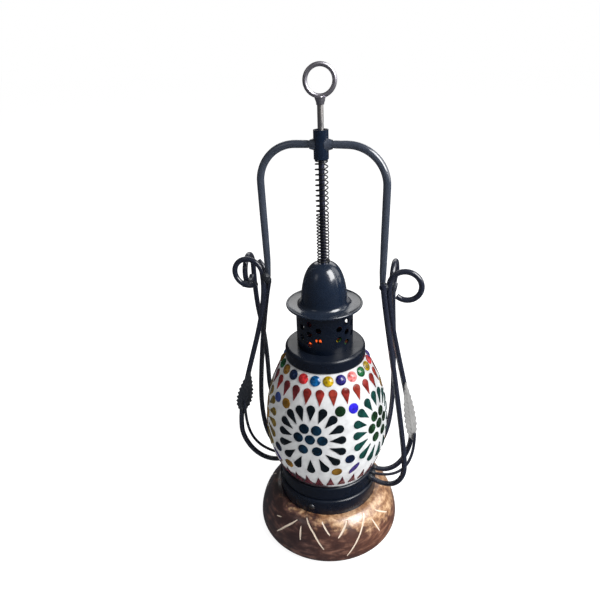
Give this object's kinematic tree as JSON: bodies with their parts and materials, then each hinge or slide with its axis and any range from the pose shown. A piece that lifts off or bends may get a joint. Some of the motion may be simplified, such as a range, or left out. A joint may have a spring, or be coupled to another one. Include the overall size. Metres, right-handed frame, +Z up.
{
  "type": "tea light holder",
  "caption": "Mosaic glass globe on a turned wooden base under a sprung metal hat, lifted by a ring to reach the tea light, between scrolled rods and leaves.",
  "frame": {"origin": "centre of the wooden base's underside, on the table", "axes": "+Z up along the lift rod; the bail lies in the XZ plane, with the right front curl towards +X"},
  "size_m": [0.1449, 0.1152, 0.3643],
  "materials": {
    "wood": "carved and burnt, lightly waxed",
    "collar_paint": "semi-gloss blue-black",
    "cap_paint": "semi-gloss blue-black",
    "hat_paint": "semi-gloss blue-black",
    "rod_paint": "semi-gloss blue-black",
    "leaf_paint": "hammered grey-black",
    "weld_steel": "rough, painted over",
    "dark_steel": "worn, dark",
    "spring_steel": "dull",
    "screw_steel": "dull",
    "clear_glass": "clear",
    "grout": "chalky, translucent",
    "cabochon_glass": "many colours, gloss",
    "ruby_glass": "gloss",
    "disc_glass": "gloss",
    "petal_glass": "gloss",
    "filler_glass": "gloss",
    "maroon_glass": "gloss"
  },
  "bodies": {
    "stand": {"wooden_base": "wood", "collar_drum": "collar_paint", "collar_cup": "collar_paint", "collar_screws": "screw_steel", "guide_tube": "rod_paint", "bail_left": "rod_paint", "bail_right": "rod_paint", "tube_welds": "weld_steel", "rod_left_front": "rod_paint", "rod_left_middle": "rod_paint", "rod_left_rear": "rod_paint", "rod_right_front": "rod_paint", "rod_right_middle": "rod_paint", "rod_right_rear": "rod_paint", "stem_left": "rod_paint", "stem_right": "rod_paint", "leaf_left": "leaf_paint", "leaf_right": "leaf_paint", "knot_welds": "weld_steel", "collar_welds": "weld_steel", "spring": "spring_steel"},
    "lift": {"cap": "cap_paint", "chimney": "cap_paint", "hat": "hat_paint", "dome_washer": "screw_steel", "dome_nut": "screw_steel", "lift_rod": "dark_steel", "finger_ring": "dark_steel", "ring_weld": "weld_steel"},
    "globe": {"glass_barrel": "clear_glass", "grout": "grout", "cabochons": "cabochon_glass", "ruby_drops": "ruby_glass", "rosette_discs": "disc_glass", "rosette_petals": "petal_glass", "filler_chips": "filler_glass", "maroon_triangles": "maroon_glass"}
  },
  "joints": [
    {"name": "cap_lift", "type": "slide", "parent": "stand", "child": "lift", "axis": [0, 0, 1], "range_m": [0, 0.028], "stiffness_N_per_m": 420, "springref_m": -0.012, "deforming": ["spring"]},
    {"name": "globe_turn", "type": "hinge", "parent": "stand", "child": "globe", "pos_m": [0, 0, 0.05], "axis": [0, 0, 1], "continuous": true}
  ]
}
